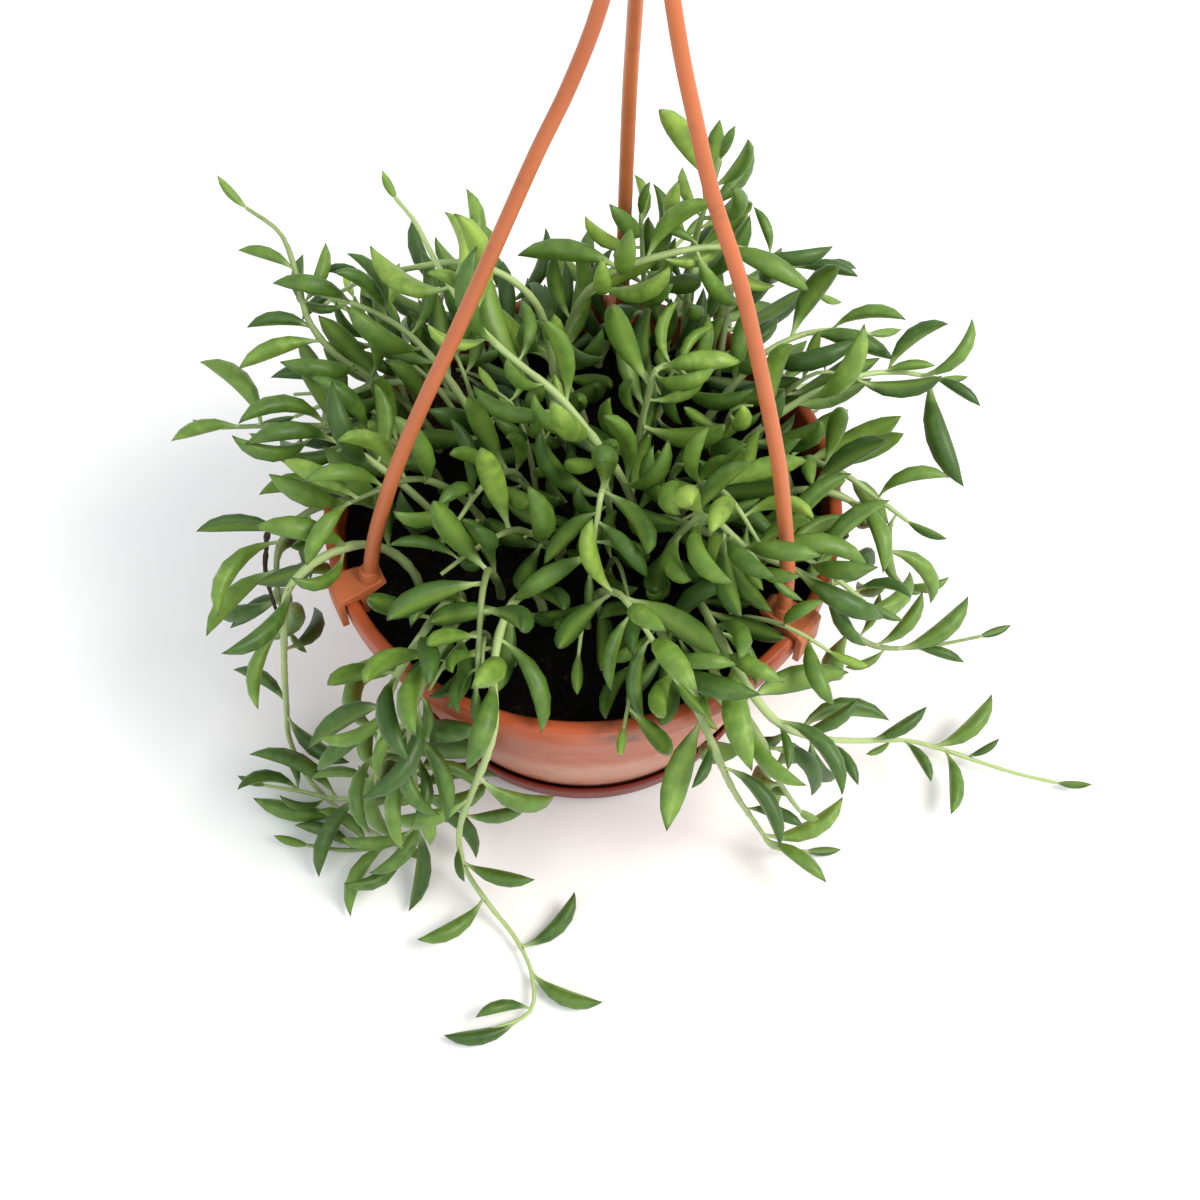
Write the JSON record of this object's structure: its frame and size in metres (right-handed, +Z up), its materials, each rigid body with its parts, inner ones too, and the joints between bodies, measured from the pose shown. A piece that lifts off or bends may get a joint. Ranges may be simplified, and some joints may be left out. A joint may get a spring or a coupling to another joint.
{
  "type": "potted string of bananas",
  "caption": "Trailing succulent with banana-shaped leaves in a round plastic hanging pot, with a saucer under it and a clipped-on hanger that ends in a hook.",
  "frame": {"origin": "middle of the saucer's underside, where the object stands", "axes": "+Z up along the pot's axis, -Y towards the picture's viewer, +X to the picture's right"},
  "size_m": [0.2929, 0.2586, 0.3511],
  "materials": {
    "pot": "moulded terracotta-coloured plastic, satin",
    "saucer": "moulded dark red-brown plastic, satin",
    "hanger": "moulded orange plastic, satin",
    "soil": "damp dark potting soil with coarse clumps",
    "leafy_stem": "smooth waxy green leaves on pale green stems"
  },
  "bodies": {
    "root": {"pot": "pot", "saucer": "saucer", "hanger": "hanger", "soil": "soil", "leafy_stem_01": "leafy_stem", "leafy_stem_02": "leafy_stem", "leafy_stem_03": "leafy_stem", "leafy_stem_04": "leafy_stem", "leafy_stem_05": "leafy_stem", "leafy_stem_06": "leafy_stem", "leafy_stem_07": "leafy_stem", "leafy_stem_08": "leafy_stem", "leafy_stem_09": "leafy_stem", "leafy_stem_10": "leafy_stem", "leafy_stem_11": "leafy_stem", "leafy_stem_12": "leafy_stem", "leafy_stem_13": "leafy_stem", "leafy_stem_14": "leafy_stem", "leafy_stem_15": "leafy_stem", "leafy_stem_16": "leafy_stem", "leafy_stem_17": "leafy_stem", "leafy_stem_18": "leafy_stem", "leafy_stem_19": "leafy_stem", "leafy_stem_20": "leafy_stem", "leafy_stem_21": "leafy_stem", "leafy_stem_22": "leafy_stem", "leafy_stem_23": "leafy_stem", "leafy_stem_24": "leafy_stem", "leafy_stem_25": "leafy_stem", "leafy_stem_26": "leafy_stem", "leafy_stem_27": "leafy_stem", "leafy_stem_28": "leafy_stem", "leafy_stem_29": "leafy_stem", "leafy_stem_30": "leafy_stem", "leafy_stem_31": "leafy_stem", "leafy_stem_32": "leafy_stem", "leafy_stem_33": "leafy_stem", "leafy_stem_34": "leafy_stem", "leafy_stem_35": "leafy_stem", "leafy_stem_36": "leafy_stem", "leafy_stem_37": "leafy_stem", "leafy_stem_38": "leafy_stem", "leafy_stem_39": "leafy_stem", "leafy_stem_40": "leafy_stem", "leafy_stem_41": "leafy_stem"}
  },
  "joints": []
}
